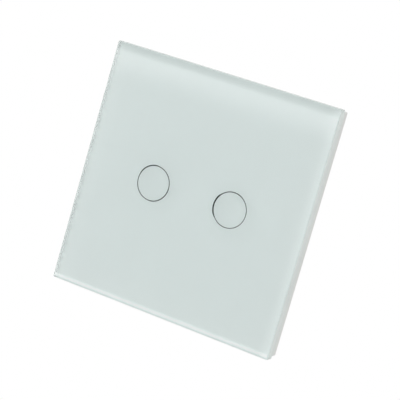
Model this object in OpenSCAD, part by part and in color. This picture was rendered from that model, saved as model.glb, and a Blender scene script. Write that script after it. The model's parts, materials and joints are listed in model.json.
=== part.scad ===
// Two-gang touch light switch: a glass panel with two touch rings, clipped over a flush-mounted module.
// Millimetres. X runs to the right, Z up, and Y into the wall. The wall plane is y = 0.

/* [Glass panel] */
// Width and height of the square glass
panel_w = 86; // [82:0.5:92]
// Thickness of the glass
glass_t = 3; // [2:0.1:5]
// Radius of the four corners seen from the front
glass_corner_r = 0.6; // [0.5:0.1:4]
// Rounding of the front edges
glass_edge_r = 0.5; // [0.3:0.1:1.8]
// Thickness of the white print on the back of the glass
print_t = 0.1; // [0.05:0.01:0.2]
// Clear border between the print and the edge of the glass
print_margin = 0.15; // [0.1:0.05:0.8]

/* [Touch rings] */
// Diameter of each ring, at the middle of its line
ring_d = 12.1; // [10:0.1:13]
// Distance between the two ring centres
ring_pitch = 30; // [27:0.5:32]
// Width of the printed line
ring_line = 0.3; // [0.2:0.05:0.8]
// Thickness of the ink of the rings
ring_ink_t = 0.05; // [0.03:0.01:0.1]

/* [Panel frame] */
// Step from the edge of the glass in to the side of the frame
frame_inset = 0.7; // [0.4:0.1:1.6]
// Depth of the frame, from the print to its rear edge
frame_depth = 4.5; // [4.2:0.1:6]
// Thickness of the frame's side wall
frame_wall = 1.8; // [1.2:0.1:2.4]
// Thickness of the frame's front flange
flange_t = 1.4; // [1:0.1:1.8]
// Thickness of the adhesive tape in the flange
tape_t = 0.4; // [0.2:0.05:0.6]
// Width of each tape strip
tape_w = 8; // [5:0.5:9]
// Length of each tape strip
tape_l = 68; // [50:1:72]
// Height of the snap beads that grip the cover
bead_h = 0.25; // [0.1:0.05:0.27]
// Length of a snap bead
bead_l = 8; // [5:0.5:12]
// Width of the notch for prying the panel off
pry_w = 10; // [6:0.5:14]
// Depth of the pry notch
pry_depth = 1.2; // [0.6:0.1:1.8]

/* [Mounting yoke] */
// Thickness of the steel plate
yoke_t = 1.2; // [1:0.1:1.5]
// Distance between the two wall screws
fixing_pitch = 60.3; // [58:0.1:62]
// Width of a wall screw slot
fixing_slot_w = 4; // [3.6:0.1:4.6]
// Length of a wall screw slot
fixing_slot_l = 8; // [6:0.5:10]
// Depth of the recess that seats the housing
seat_depth = 0.4; // [0.2:0.05:0.6]

/* [Module shells] */
// Width of the rear housing
housing_w = 50; // [48:0.5:52]
// Height of the rear housing
housing_h = 58; // [57:0.5:62]
// Wall of the rear housing
housing_wall = 1.6; // [1.2:0.1:2]
// Corner radius of the rear housing
housing_corner_r = 3; // [2:0.1:4]
// Rounding of the housing's rear edges
housing_edge_r = 1.5; // [0.5:0.1:1.8]
// Wall of the front cover
cover_wall = 1.6; // [1.2:0.1:2]
// Front wall of the front cover
cover_front_t = 1.2; // [0.9:0.1:1.5]
// Step from the housing's side out to the cover's side
cover_step = 1; // [0.5:0.1:2]

/* [Housing screws] */
// Diameter of the threaded shank
screw_d = 2.5; // [2:0.1:3]
// Diameter of the head
screw_head_d = 4.4; // [3.6:0.1:4.8]
// Height of the head
screw_head_t = 1.4; // [1:0.1:1.6]
// Length of the shank under the head
screw_l = 9; // [7:0.5:11]
// Diameter of the bosses that take the screws
boss_d = 6; // [5.6:0.1:7]

/* [Touch board] */
// Thickness of the touch board
touch_board_t = 1.2; // [0.8:0.1:1.6]
// Room between the cover's front wall and the touch board
touch_drop = 5.9; // [5:0.1:7]
// Margin from the housing's inner side walls to the touch board
touch_margin_x = 2.4; // [1.5:0.1:3]
// Margin from the housing's inner top and bottom walls to the touch board
touch_margin_z = 3.4; // [2:0.1:5]
// Diameter of the cover posts that carry the touch board
post_d = 4; // [3.4:0.1:4.6]
// Diameter of the pin at the end of each cover post
stake_d = 1.8; // [1.2:0.1:2.2]
// Wire diameter of the touch springs
spring_wire_d = 0.6; // [0.4:0.05:0.7]
// Outer diameter of the touch springs
spring_d = 6; // [5:0.1:6.4]
// Turns of each touch spring
spring_turns = 5; // [4:1:6]

/* [Power board] */
// Thickness of the power board
power_board_t = 1.6; // [1.2:0.1:2]
// Room between the two boards
board_gap = 6.2; // [5.8:0.1:8]
// Pins in the board connector
connector_pins = 5; // [3:1:6]
// Pitch of the connector pins
connector_pitch = 2.54; // [2:0.01:2.6]
// Diameter of the posts under the power board
board_post_d = 5; // [4.4:0.1:5.6]

/* [Relays] */
// Width of a relay
relay_w = 15.2; // [14.6:0.1:16.4]
// Length of a relay
relay_l = 19; // [18.4:0.1:20]
// Height of a relay above the power board
relay_h = 15.2; // [14.6:0.1:17]
// Wall of the relay's cover
relay_wall = 0.8; // [0.6:0.05:1]
// Gap between the armature and the pole
relay_air_gap = 0.7; // [0.65:0.05:0.9]
// Diameter of the iron core
core_d = 4.4; // [3.6:0.1:4.8]
// Diameter of the bobbin's flanges
bobbin_d = 9.6; // [8.8:0.1:10.6]

/* [Terminals] */
// Distance between terminals
terminal_pitch = 14; // [13:0.1:15]
// Height of a terminal body
terminal_h = 13; // [12.4:0.1:14]
// Diameter of the wire entry hole
wire_d = 4.2; // [3.6:0.1:4.8]
// Travel of the clamping cage
clamp_travel = 3; // [2:0.1:3.2]
// Thread diameter of the clamping screw
clamp_screw_d = 3; // [2.5:0.1:3.5]
// Head diameter of the clamping screw
clamp_head_d = 5.4; // [4.8:0.1:6]
// Thickness of the current bar
bar_t = 1; // [0.8:0.1:1.2]
// Width of the current bar
bar_w = 5; // [4:0.1:5.4]

/* [Hidden] */
$fn = 64;
// Running clearance on a radius
run_clear = 0.05;
// Clearance between parts that are placed by hand
place_clear = 0.3;
// Overshoot that lets a cut pass right through a wall
cut_over = 1;

// Levels through the panel, from the wall forward
wall_gap = 0.2;
panel_clear = 0.2;
y_frame_back = -wall_gap;
y_print_back = y_frame_back - frame_depth;
y_glass_back = y_print_back - print_t;
y_glass_front = y_glass_back - glass_t;
y_flange_back = y_print_back + flange_t;
frame_w = panel_w - 2 * frame_inset;
frame_inner_w = frame_w - 2 * frame_wall;
frame_corner_r = 0.5;

// Levels through the module
y_yoke_front = -yoke_t;
y_seat = -seat_depth;
y_cover_front = y_print_back + panel_clear;
y_cover_inner = y_cover_front + cover_front_t;
y_touch_front = y_cover_inner + touch_drop;
y_touch_back = y_touch_front + touch_board_t;
y_power_front = y_touch_back + board_gap;
y_power_back = y_power_front + power_board_t;

// Housing, bosses and cover
inner_w = housing_w - 2 * housing_wall;
inner_h = housing_h - 2 * housing_wall;
inner_corner_ease = 0.4;
inner_corner_r = housing_corner_r - housing_wall + inner_corner_ease;
opening_margin = 0.4;
boss_sink = 0.5;
boss_side_inset = 7;
boss_x = housing_w / 2 - boss_side_inset;
boss_z = housing_h / 2 + boss_d / 2 - boss_sink;
boss_depth = 9.4;
cover_rim = 0.5;
cover_w = housing_w + 2 * cover_step;
cover_h = 2 * boss_z + boss_d + 2 * cover_rim;
cover_corner_r = 2;
window_w = cover_w + 2 * place_clear;
window_h = cover_h + 2 * place_clear;
yoke_w = frame_inner_w - 2 * place_clear;
yoke_corner_r = 2;
opening_w = inner_w - 2 * opening_margin;
opening_h = inner_h - 2 * opening_margin;

// Tape strips between the flange and the print, one on each side of the window
tape_margin = 2;
tape_x = frame_w / 2 - tape_margin - tape_w / 2;
tape_clear = 0.1;

// Snap beads on the window's upper and lower edges
bead_x = cover_w / 4;

// Light guides and what stands inside them
guide_wall_out = 0.8;
guide_wall_in = 1;
guide_ear = 1.2;
guide_ear_w = 6;
guide_ear_t = 1;
guide_r = ring_d / 2 + guide_wall_out;
guide_inner_r = ring_d / 2 - guide_wall_in;
guide_clear = 0.1;
spring_tip_gap = 0.15;
led_w = 2;
led_t = 0.8;
led_l = 1.1;
led_r = (guide_inner_r + guide_r) / 2;
SIDES = [-1, 1];

// Boards
touch_board_w = inner_w - 2 * touch_margin_x;
touch_board_h = inner_h - 2 * touch_margin_z;
post_inset = 2.5;
post_x = touch_board_w / 2 - post_inset;
post_z = touch_board_h / 2 - post_inset;
stake_over = 1;
board_clear = 0.4;
power_board_w = inner_w - 2 * board_clear;
power_board_h = inner_h - 2 * board_clear;
board_screw_d = 2.2;
board_head_d = 4;
board_head_t = 1.5;
board_screw_l = 7;
board_corner_r = 1.5;
chip_w = 5;
chip_t = 1;
rectifier_w = 6;
rectifier_t = 1.8;

// Board connector
connector_w = 2.5;
connector_end = 0.1;
connector_l = connector_pins * connector_pitch + 2 * connector_end;
header_t = 2.5;
pin_d = 0.64;
pin_hole_d = 0.8;
pin_over = 0.8;
pin_engage = 2.8;
socket_gap = 0.1;

// Terminals, from the power board to the rear
terminal_gap = 0.6;
terminal_w = terminal_pitch - terminal_gap;
terminal_x = [-terminal_pitch, 0, terminal_pitch];
terminal_clear = 0.2;
z_terminal_low = -inner_h / 2 + terminal_clear;
z_terminal_top = z_terminal_low + terminal_h;
terminal_front_wall = 1.8;
cage_floor = 1;
cage_roof = 2;
cage_wall = 1.2;
cage_l = 7;
cage_side_gap = 0.9;
cage_w = wire_d + 2 * cage_side_gap + 2 * cage_wall;
cage_clear = 0.2;
cage_lift_gap = 0.4;
cage_board_gap = 1.2;
y_cage_low = y_power_back + cage_board_gap;
y_wire = y_cage_low + cage_floor + wire_d / 2;
y_bar_low = y_wire + wire_d / 2;
y_bar_top = y_bar_low + bar_t;
y_roof_low = y_bar_top + cage_lift_gap;
y_cage_top = y_roof_low + cage_roof;
y_cavity_top = y_cage_top + clamp_travel + cage_clear;
head_seat_t = 0.8;
head_gap = 0.1;
y_head_low = y_cavity_top + head_seat_t + head_gap;
clamp_head_t = 2;
y_head_top = y_head_low + clamp_head_t;
head_recess = 1.5;
head_clear = 0.2;
slot_w = 0.8;
slot_depth = 1;
z_cage_low = z_terminal_low + terminal_front_wall + cage_clear;
z_cage_top = z_cage_low + cage_l;
z_clamp = (z_cage_low + z_cage_top) / 2;
bar_end_gap = 0.4;
bar_leg_t = 1;
leg_cage_gap = 1.4;
z_leg = z_cage_top + leg_cage_gap;
leg_over = 1;
bar_clear = 0.1;

// Relays, from the power board to the rear
relay_gap = 0.9;
relay_x = board_post_d / 2 + relay_gap + relay_w / 2;
relay_terminal_gap = 2;
z_relay_low = z_terminal_top + relay_terminal_gap;
z_relay = z_relay_low + relay_l / 2;
z_relay_top = z_relay_low + relay_l;
relay_base_t = 1.6;
relay_base_clear = 0.1;
relay_top_room = 0.6;
y_base_top = y_power_back + relay_base_t;
relay_iron_t = 1.2;
relay_leg_t = 2;
relay_leg_gap = 0.4;
relay_iron_w = 9;
z_pivot = z_relay_low + relay_wall + relay_leg_gap + relay_leg_t / 2;
bobbin_gap = 0.2;
z_core = z_pivot + relay_leg_t / 2 + bobbin_gap + bobbin_d / 2;
bobbin_tube_wall = 0.5;
bobbin_flange_t = 0.8;
bobbin_core_clear = 0.1;
winding_inset = 0.3;
armature_t = 1.2;
armature_inset = 0.5;
knuckle_d = 1.8;
y_relay_top = y_power_back + relay_h;
armature_room = 1.0;
y_armature_top = y_relay_top - relay_wall - armature_room;
y_armature_low = y_armature_top - armature_t;
y_pole = y_armature_low - relay_air_gap;
pivot_rise = 0.3;
y_pivot = y_armature_low + pivot_rise;
groove_room = 0.55;
y_leg_top = y_pivot - groove_room;
bobbin_pole_gap = 0.4;
contact_d = 2.4;
contact_t = 0.6;
z_contact = (z_core + bobbin_d / 2 + z_relay_top - relay_wall) / 2;
pole_reach = z_core + core_d / 2 - z_pivot;
contact_reach = z_contact + contact_d / 2 - z_pivot;
contact_gap = relay_air_gap * contact_reach / pole_reach;
y_contact = y_armature_low - contact_t - contact_gap;
contact_blade_t = 0.8;
contact_blade_w = 5;
relay_pin_w = 1;
relay_pin_t = 0.6;
relay_pin_over = 1;
relay_pin_clear = 0.1;

// Rear of the module, set by the deeper of the relays and the terminals.
// The terminals stand in a window at the lower rear edge.
y_back_relays = y_relay_top + relay_top_room + housing_wall;
y_back_terminals = y_head_top + head_recess;
y_back = max(y_back_relays, y_back_terminals);
window_row_w = 2 * terminal_pitch + terminal_w + 2 * terminal_clear;

// Posts under the power board, and the parts between the relays and the top wall
post_low_z = z_relay;
post_top_z = inner_h / 2 - board_post_d / 2;
connector_z = z_terminal_top + relay_terminal_gap / 2;
part_gap = 1;
z_parts = (z_relay_top + inner_h / 2) / 2;
capacitor_d = 10;
capacitor_h = 12;
capacitor_x = -inner_w / 2 + part_gap + capacitor_d / 2;
film_w = 6;
film_h = 12;
film_l = 12;
film_x = capacitor_x + capacitor_d / 2 + part_gap + film_w / 2;
varistor_d = 9;
varistor_t = 3.4;
varistor_x = inner_w / 2 - part_gap - varistor_t / 2;
core_w = 12;
core_h = 10;
core_l = 12;
core_leg = 3;
coil_clear = 0.2;
transformer_x = varistor_x - varistor_t / 2 - part_gap - core_w / 2;
fuse_d = 4;
fuse_h = 8;
fuse_z = (z_relay_top + post_top_z - board_post_d / 2) / 2;

// Box between two corners
module block(low, high) {
  translate(low) cube(high - low);
}

// Round bar along Y
module rod_y(x, z, y0, y1, d) {
  translate([x, y0, z]) rotate([-90, 0, 0]) cylinder(h = y1 - y0, d = d);
}

// Round bar along Z
module rod_z(x, y, z0, z1, d) {
  translate([x, y, z0]) cylinder(h = z1 - z0, d = d);
}

// Round bar along X
module rod_x(y, z, x0, x1, d) {
  translate([x0, y, z]) rotate([0, 90, 0]) cylinder(h = x1 - x0, d = d);
}

// Rectangle with round corners
module rounded_rect(w, h, r) {
  square([w - 2 * r, h], center = true);
  square([w, h - 2 * r], center = true);
  for (sx = SIDES, sz = SIDES)
    translate([sx * (w / 2 - r), sz * (h / 2 - r)]) circle(r);
}

// A flat outline, drawn as seen from the front, given thickness between two levels
module plate(y0, y1) {
  translate([0, y1, 0]) rotate([90, 0, 0]) linear_extrude(y1 - y0) children();
}

// Slot with round ends along X
module slot_outline(w, l) {
  square([l - w, w], center = true);
  for (s = SIDES) translate([s * (l - w) / 2, 0]) circle(d = w);
}

// Bar along Z between two levels, whose two long edges at the level y_eased are round
module eased_bar(w, l, y_flat, y_eased, r) {
  inner = w / 2 - r;
  y_centre = y_eased > y_flat ? y_eased - r : y_eased + r;
  translate([0, 0, -l / 2]) linear_extrude(l) {
    translate([-w / 2, min(y_flat, y_centre)]) square([w, abs(y_centre - y_flat)]);
    translate([-inner, min(y_flat, y_eased)]) square([2 * inner, abs(y_eased - y_flat)]);
    for (s = SIDES) translate([s * inner, y_centre]) circle(r);
  }
}

// Block seen as a rectangle with round corners, whose edges all round the level y_eased are round too
module eased_block(w, h, corner_r, y_flat, y_eased, r) {
  intersection() {
    plate(min(y_flat, y_eased), max(y_flat, y_eased)) rounded_rect(w, h, corner_r);
    eased_bar(w, h, y_flat, y_eased, r);
    rotate([0, 90, 0]) eased_bar(h, w, y_flat, y_eased, r);
  }
}

module glass_panel() {
  color([0.82, 0.88, 0.87])
  eased_block(panel_w, panel_w, glass_corner_r, y_glass_back, y_glass_front, glass_edge_r);
}

module back_print() {
  print_w = panel_w - 2 * print_margin;
  color([0.9, 0.93, 0.92])
  plate(y_glass_back, y_print_back) rounded_rect(print_w, print_w, glass_corner_r);
}

// Two rings printed on the front of the glass, which show where to touch
module ring_print() {
  color([0.3, 0.31, 0.31])
  plate(y_glass_front - ring_ink_t, y_glass_front)
    for (s = SIDES) translate([s * ring_pitch / 2, 0]) difference() {
      circle(d = ring_d + ring_line);
      circle(d = ring_d - ring_line);
    }
}

module adhesive_tape() {
  color([0.2, 0.2, 0.2])
  plate(y_print_back, y_print_back + tape_t)
    for (s = SIDES) translate([s * tape_x, 0]) square([tape_w, tape_l], center = true);
}

module panel_frame() {
  y_bead = (y_print_back + y_flange_back) / 2;
  color([0.85, 0.86, 0.85]) {
    difference() {
      plate(y_print_back, y_frame_back) rounded_rect(frame_w, frame_w, frame_corner_r);
      plate(y_flange_back, y_frame_back + cut_over)
        rounded_rect(frame_inner_w, frame_inner_w, frame_corner_r);
      plate(y_print_back - cut_over, y_flange_back + cut_over)
        rounded_rect(window_w, window_h, cover_corner_r);
      plate(y_print_back - cut_over, y_print_back + tape_t)
        for (s = SIDES) translate([s * tape_x, 0])
          square([tape_w + 2 * tape_clear, tape_l + 2 * tape_clear], center = true);
      block([-pry_w / 2, y_frame_back - pry_depth, -frame_w / 2 - cut_over],
            [pry_w / 2, y_frame_back + cut_over, -frame_inner_w / 2 + place_clear]);
    }
    for (sx = SIDES, sz = SIDES)
      snap_bead(sx * bead_x, sz, y_bead);
  }
}

// Half-round bead on the upper or lower edge of the frame's window
module snap_bead(x, sz, y) {
  z_edge = window_h / 2;
  translate([0, 0, sz * z_edge]) intersection() {
    rod_x(y, 0, x - bead_l / 2, x + bead_l / 2, 2 * bead_h);
    block([x - bead_l / 2, y - bead_h, sz > 0 ? -bead_h : 0],
          [x + bead_l / 2, y + bead_h, sz > 0 ? 0 : bead_h]);
  }
}

// Outline of the four lugs that hold the screw bosses
module lug_outline(grow) {
  lug_w = boss_d + 2 * grow;
  for (sx = SIDES, sz = SIDES) {
    translate([sx * boss_x, sz * boss_z]) circle(d = lug_w);
    translate([sx * boss_x, sz * (boss_z - boss_d / 4)]) square([lug_w, boss_d / 2], center = true);
  }
}

module mounting_yoke() {
  color([0.72, 0.74, 0.76])
  difference() {
    plate(y_yoke_front, 0) rounded_rect(yoke_w, yoke_w, yoke_corner_r);
    plate(y_yoke_front - cut_over, cut_over) {
      rounded_rect(opening_w, opening_h, inner_corner_r);
      for (s = SIDES) translate([s * fixing_pitch / 2, 0]) slot_outline(fixing_slot_w, fixing_slot_l);
      for (sx = SIDES, sz = SIDES)
        translate([sx * boss_x, sz * boss_z]) circle(d = screw_d + 2 * place_clear);
    }
    plate(y_seat, cut_over) {
      rounded_rect(housing_w + 2 * place_clear, housing_h + 2 * place_clear, housing_corner_r + place_clear);
      lug_outline(place_clear);
    }
  }
}

module front_cover() {
  y_rear = y_yoke_front;
  counterbore_d = screw_head_d + 2 * guide_clear;
  color([0.93, 0.93, 0.92])
  difference() {
    union() {
      difference() {
        plate(y_cover_front, y_rear) rounded_rect(cover_w, cover_h, cover_corner_r);
        plate(y_cover_inner, y_rear + cut_over)
          square([cover_w - 2 * cover_wall, cover_h - 2 * cover_wall], center = true);
      }
      for (sx = SIDES, sz = SIDES) {
        rod_y(sx * boss_x, sz * boss_z, y_cover_front, y_rear, boss_d);
        rod_y(sx * post_x, sz * post_z, y_cover_front, y_touch_front, post_d);
        rod_y(sx * post_x, sz * post_z, y_cover_front, y_touch_back + stake_over, stake_d);
      }
    }
    for (s = SIDES)
      rod_y(s * ring_pitch / 2, 0, y_cover_front - cut_over, y_rear, 2 * (guide_r + guide_clear));
    for (sx = SIDES, sz = SIDES) {
      rod_y(sx * boss_x, sz * boss_z, y_cover_front - cut_over, y_cover_front + screw_head_t, counterbore_d);
      rod_y(sx * boss_x, sz * boss_z, y_cover_front, y_rear + cut_over, screw_d + 2 * guide_clear);
    }
  }
}

// Screw along Y with its head in front, and a cross recess in the head
module cross_screw(x, z, y_seat_face, head_d, head_t, d, l) {
  recess_w = 0.7;
  recess_l = 0.6 * head_d;
  recess_depth = 0.6 * head_t;
  y_top = y_seat_face - head_t;
  difference() {
    union() {
      rod_y(x, z, y_top, y_seat_face, head_d);
      rod_y(x, z, y_top, y_seat_face + l, d);
    }
    block([x - recess_l / 2, y_top - cut_over, z - recess_w / 2],
          [x + recess_l / 2, y_top + recess_depth, z + recess_w / 2]);
    block([x - recess_w / 2, y_top - cut_over, z - recess_l / 2],
          [x + recess_w / 2, y_top + recess_depth, z + recess_l / 2]);
  }
}

module housing_screws() {
  color([0.75, 0.75, 0.77])
  for (sx = SIDES, sz = SIDES)
    cross_screw(sx * boss_x, sz * boss_z, y_cover_front + screw_head_t,
                screw_head_d, screw_head_t, screw_d, screw_l);
}

module rear_housing() {
  y_inner = y_back - housing_wall;
  pilot_d = screw_d + 2 * run_clear;
  board_pilot_d = board_screw_d + 2 * run_clear;
  y_screw_end = y_cover_front + screw_head_t + screw_l;
  color([0.88, 0.88, 0.87])
  difference() {
    union() {
      difference() {
        union() {
          eased_block(housing_w, housing_h, housing_corner_r, y_seat, y_back, housing_edge_r);
          plate(y_seat, y_seat + boss_depth) lug_outline(0);
        }
        plate(y_seat - cut_over, y_inner) rounded_rect(inner_w, inner_h, inner_corner_r);
      }
      for (z = [post_low_z, post_top_z])
        rod_y(0, z, y_power_back, y_back - housing_wall / 2, board_post_d);
    }
    for (sx = SIDES, sz = SIDES)
      rod_y(sx * boss_x, sz * boss_z, y_seat - cut_over, y_screw_end + place_clear, pilot_d);
    for (z = [post_low_z, post_top_z])
      rod_y(0, z, y_power_back - cut_over, y_power_front + board_screw_l + place_clear, board_pilot_d);
    block([-window_row_w / 2, y_inner - cut_over, -inner_h / 2],
          [window_row_w / 2, y_back + cut_over, z_terminal_top + terminal_clear]);
    block([-window_row_w / 2, y_power_back, -housing_h / 2 - cut_over],
          [window_row_w / 2, y_back + cut_over, -inner_h / 2 + cut_over]);
  }
}

// Ring that carries light to the print, with two ears against the inside of the cover
module light_guide(side) {
  x = side * ring_pitch / 2;
  color([0.35, 0.37, 0.38])
  difference() {
    union() {
      rod_y(x, 0, y_cover_front, y_yoke_front, 2 * guide_r);
      block([x - guide_ear_w / 2, y_cover_inner, -guide_r - guide_ear],
            [x + guide_ear_w / 2, y_cover_inner + guide_ear_t, guide_r + guide_ear]);
    }
    rod_y(x, 0, y_cover_front - cut_over, y_yoke_front + cut_over, 2 * guide_inner_r);
  }
}

// Points on the spring's wire centre line and around its section
SPRING_SIDES = 6;
SPRING_RINGS = 8;
spring_y0 = y_print_back + spring_tip_gap + spring_wire_d / 2;
spring_y1 = y_touch_front - spring_wire_d / 2;
spring_r = (spring_d - spring_wire_d) / 2;
spring_steps = spring_turns * SPRING_RINGS;
function spring_angle(i) = 360 * i / SPRING_RINGS;
function spring_y(i) = spring_y0 + (spring_y1 - spring_y0) * i / spring_steps;
function spring_point(i, k) =
  let (a = spring_angle(i), b = 360 * k / SPRING_SIDES, r = spring_r + spring_wire_d / 2 * cos(b))
  [r * cos(a), spring_y(i) + spring_wire_d / 2 * sin(b), r * sin(a)];
function spring_index(i, k) = i * SPRING_SIDES + k % SPRING_SIDES;
spring_points = [
  for (i = [0:spring_steps], k = [0:SPRING_SIDES - 1]) spring_point(i, k)
];
spring_skin = [
  for (i = [0:spring_steps - 1], k = [0:SPRING_SIDES - 1], half = [0, 1])
    half == 0
      ? [spring_index(i, k), spring_index(i, k + 1), spring_index(i + 1, k)]
      : [spring_index(i + 1, k), spring_index(i, k + 1), spring_index(i + 1, k + 1)]
];
spring_ends = [
  for (k = [1:SPRING_SIDES - 2], end = [0, spring_steps])
    end == 0
      ? [spring_index(0, 0), spring_index(0, k + 1), spring_index(0, k)]
      : [spring_index(end, 0), spring_index(end, k), spring_index(end, k + 1)]
];
spring_gap = min([
  for (i = [0:spring_steps - SPRING_RINGS], k = [0:SPRING_SIDES - 1], m = [0:SPRING_SIDES - 1])
    norm(spring_point(i, k) - spring_point(i + SPRING_RINGS, m))
]);
echo(least_gap_between_spring_turns = spring_gap);

module touch_spring(side) {
  color([0.8, 0.7, 0.4])
  translate([side * ring_pitch / 2, 0, 0])
    polyhedron(points = spring_points, faces = concat(spring_skin, spring_ends));
}

module touch_board() {
  hole_d = stake_d + 2 * guide_clear;
  color([0.1, 0.35, 0.2])
  plate(y_touch_front, y_touch_back) difference() {
    rounded_rect(touch_board_w, touch_board_h, board_corner_r);
    for (sx = SIDES, sz = SIDES) translate([sx * post_x, sz * post_z]) circle(d = hole_d);
  }
}

module touch_chip() {
  z = touch_board_h / 4;
  color([0.12, 0.12, 0.13])
  block([-chip_w / 2, y_touch_back, z - chip_w / 2], [chip_w / 2, y_touch_back + chip_t, z + chip_w / 2]);
}

module indicator_leds() {
  color([0.95, 0.93, 0.75])
  for (sx = SIDES, sz = SIDES)
    translate([sx * ring_pitch / 2, 0, sz * led_r])
      block([-led_w / 2, y_touch_front - led_t, -led_l / 2], [led_w / 2, y_touch_front, led_l / 2]);
}

function pin_x(i) = (i - (connector_pins - 1) / 2) * connector_pitch;

module connector_block(y0, y1, hole_d) {
  difference() {
    block([-connector_l / 2, y0, connector_z - connector_w / 2],
          [connector_l / 2, y1, connector_z + connector_w / 2]);
    for (i = [0:connector_pins - 1])
      rod_y(pin_x(i), connector_z, y0 - cut_over, y1 + cut_over, hole_d);
  }
}

module board_socket() {
  color([0.15, 0.15, 0.16])
  connector_block(y_touch_back, y_power_front - header_t - socket_gap, pin_hole_d);
}

module board_header() {
  color([0.18, 0.18, 0.2])
  connector_block(y_power_front - header_t, y_power_front, pin_d + 2 * run_clear);
}

module header_pins() {
  color([0.85, 0.75, 0.45])
  for (i = [0:connector_pins - 1])
    rod_y(pin_x(i), connector_z, y_power_front - header_t - pin_engage, y_power_back + pin_over, pin_d);
}

module power_board() {
  relay_hole_w = relay_pin_w + 2 * relay_pin_clear;
  relay_hole_t = relay_pin_t + 2 * relay_pin_clear;
  color([0.12, 0.4, 0.22])
  plate(y_power_front, y_power_back) difference() {
    rounded_rect(power_board_w, power_board_h, board_corner_r);
    for (z = [post_low_z, post_top_z]) translate([0, z]) circle(d = board_screw_d + 2 * guide_clear);
    for (i = [0:connector_pins - 1]) translate([pin_x(i), connector_z]) circle(d = pin_hole_d);
    for (x = terminal_x)
      translate([x, z_leg])
        square([bar_w + 2 * bar_clear, bar_leg_t + 2 * bar_clear], center = true);
    for (side = SIDES, p = relay_pin_places)
      translate([side * relay_x + p[0], p[1]]) square([relay_hole_w, relay_hole_t], center = true);
  }
}

module board_screws() {
  color([0.75, 0.75, 0.77])
  for (z = [post_low_z, post_top_z])
    cross_screw(0, z, y_power_front, board_head_d, board_head_t, board_screw_d, board_screw_l);
}

module smoothing_capacitor() {
  sleeve_r = capacitor_d / 2;
  crimp_y = 1.6;
  crimp_depth = 0.4;
  color([0.15, 0.2, 0.45])
  translate([capacitor_x, y_power_back, z_parts]) rotate([-90, 0, 0]) rotate_extrude() difference() {
    square([sleeve_r, capacitor_h]);
    translate([sleeve_r, crimp_y]) circle(crimp_depth);
  }
}

module film_capacitor() {
  color([0.75, 0.65, 0.3])
  block([film_x - film_w / 2, y_power_back, z_parts - film_l / 2],
        [film_x + film_w / 2, y_power_back + film_h, z_parts + film_l / 2]);
}

module varistor() {
  color([0.2, 0.35, 0.6])
  rod_x(y_power_back + varistor_d / 2, z_parts,
        varistor_x - varistor_t / 2, varistor_x + varistor_t / 2, varistor_d);
}

module fuse() {
  color([0.6, 0.2, 0.18])
  rod_y(0, fuse_z, y_power_back, y_power_back + fuse_h, fuse_d);
}

module transformer_core() {
  color([0.25, 0.25, 0.27])
  translate([transformer_x, y_power_back, z_parts])
  difference() {
    block([-core_w / 2, 0, -core_l / 2], [core_w / 2, core_h, core_l / 2]);
    for (s = SIDES)
      translate([s * (core_w / 4 + core_leg / 8), 0, 0])
        block([-core_leg / 2, core_leg / 2, -core_l / 2 - cut_over],
              [core_leg / 2, core_h - core_leg / 2, core_l / 2 + cut_over]);
  }
}

module transformer_coil() {
  slot_x = core_w / 4 + core_leg / 8;
  coil_w = core_leg - 2 * coil_clear;
  color([0.7, 0.4, 0.2])
  translate([transformer_x, y_power_back, z_parts])
  for (s = SIDES)
    translate([s * slot_x, 0, 0])
      block([-coil_w / 2, core_leg / 2 + coil_clear, -core_l / 2],
            [coil_w / 2, core_h - core_leg / 2 - coil_clear, core_l / 2]);
}

module rectifier() {
  z = touch_board_h / 4;
  color([0.12, 0.12, 0.13])
  block([-rectifier_w / 2, y_power_front - rectifier_t, z - rectifier_w / 2],
        [rectifier_w / 2, y_power_front, z + rectifier_w / 2]);
}

// Pins under each relay, measured from the middle of its width: two for the coil, two for the contacts
relay_pin_places = [
  [-relay_w / 3, z_pivot], [relay_w / 3, z_pivot],
  [-contact_blade_w / 3, z_contact], [contact_blade_w / 3, z_contact]
];

module relay_base(side) {
  w = relay_w - 2 * relay_wall - 2 * relay_base_clear;
  l = relay_l - 2 * relay_wall - 2 * relay_base_clear;
  color([0.2, 0.2, 0.22])
  translate([side * relay_x, 0, z_relay])
    block([-w / 2, y_power_back, -l / 2], [w / 2, y_base_top, l / 2]);
}

module relay_pins() {
  color([0.8, 0.8, 0.8])
  for (side = SIDES, p = relay_pin_places)
    translate([side * relay_x + p[0], 0, p[1]])
      block([-relay_pin_w / 2, y_power_front - relay_pin_over, -relay_pin_t / 2],
            [relay_pin_w / 2, y_power_back, relay_pin_t / 2]);
}

// Iron path: foot under the coil, leg with the armature's groove, and core
module relay_yoke(side) {
  x = side * relay_x;
  color([0.6, 0.6, 0.62])
  difference() {
    union() {
      block([x - relay_iron_w / 2, y_base_top, z_pivot - relay_leg_t / 2],
            [x + relay_iron_w / 2, y_base_top + relay_iron_t, z_core + core_d / 2]);
      block([x - relay_iron_w / 2, y_base_top, z_pivot - relay_leg_t / 2],
            [x + relay_iron_w / 2, y_leg_top, z_pivot + relay_leg_t / 2]);
      rod_y(x, z_core, y_base_top, y_pole, core_d);
    }
    rod_x(y_pivot, z_pivot, x - relay_iron_w / 2 - cut_over, x + relay_iron_w / 2 + cut_over,
          knuckle_d + 2 * run_clear);
  }
}

module relay_bobbin(side) {
  x = side * relay_x;
  y0 = y_base_top + relay_iron_t;
  y1 = y_pole - bobbin_pole_gap;
  bore_d = core_d + 2 * bobbin_core_clear;
  color([0.85, 0.85, 0.8])
  difference() {
    union() {
      rod_y(x, z_core, y0, y1, bore_d + 2 * bobbin_tube_wall);
      rod_y(x, z_core, y0, y0 + bobbin_flange_t, bobbin_d);
      rod_y(x, z_core, y1 - bobbin_flange_t, y1, bobbin_d);
    }
    rod_y(x, z_core, y0 - cut_over, y1 + cut_over, bore_d);
  }
}

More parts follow.
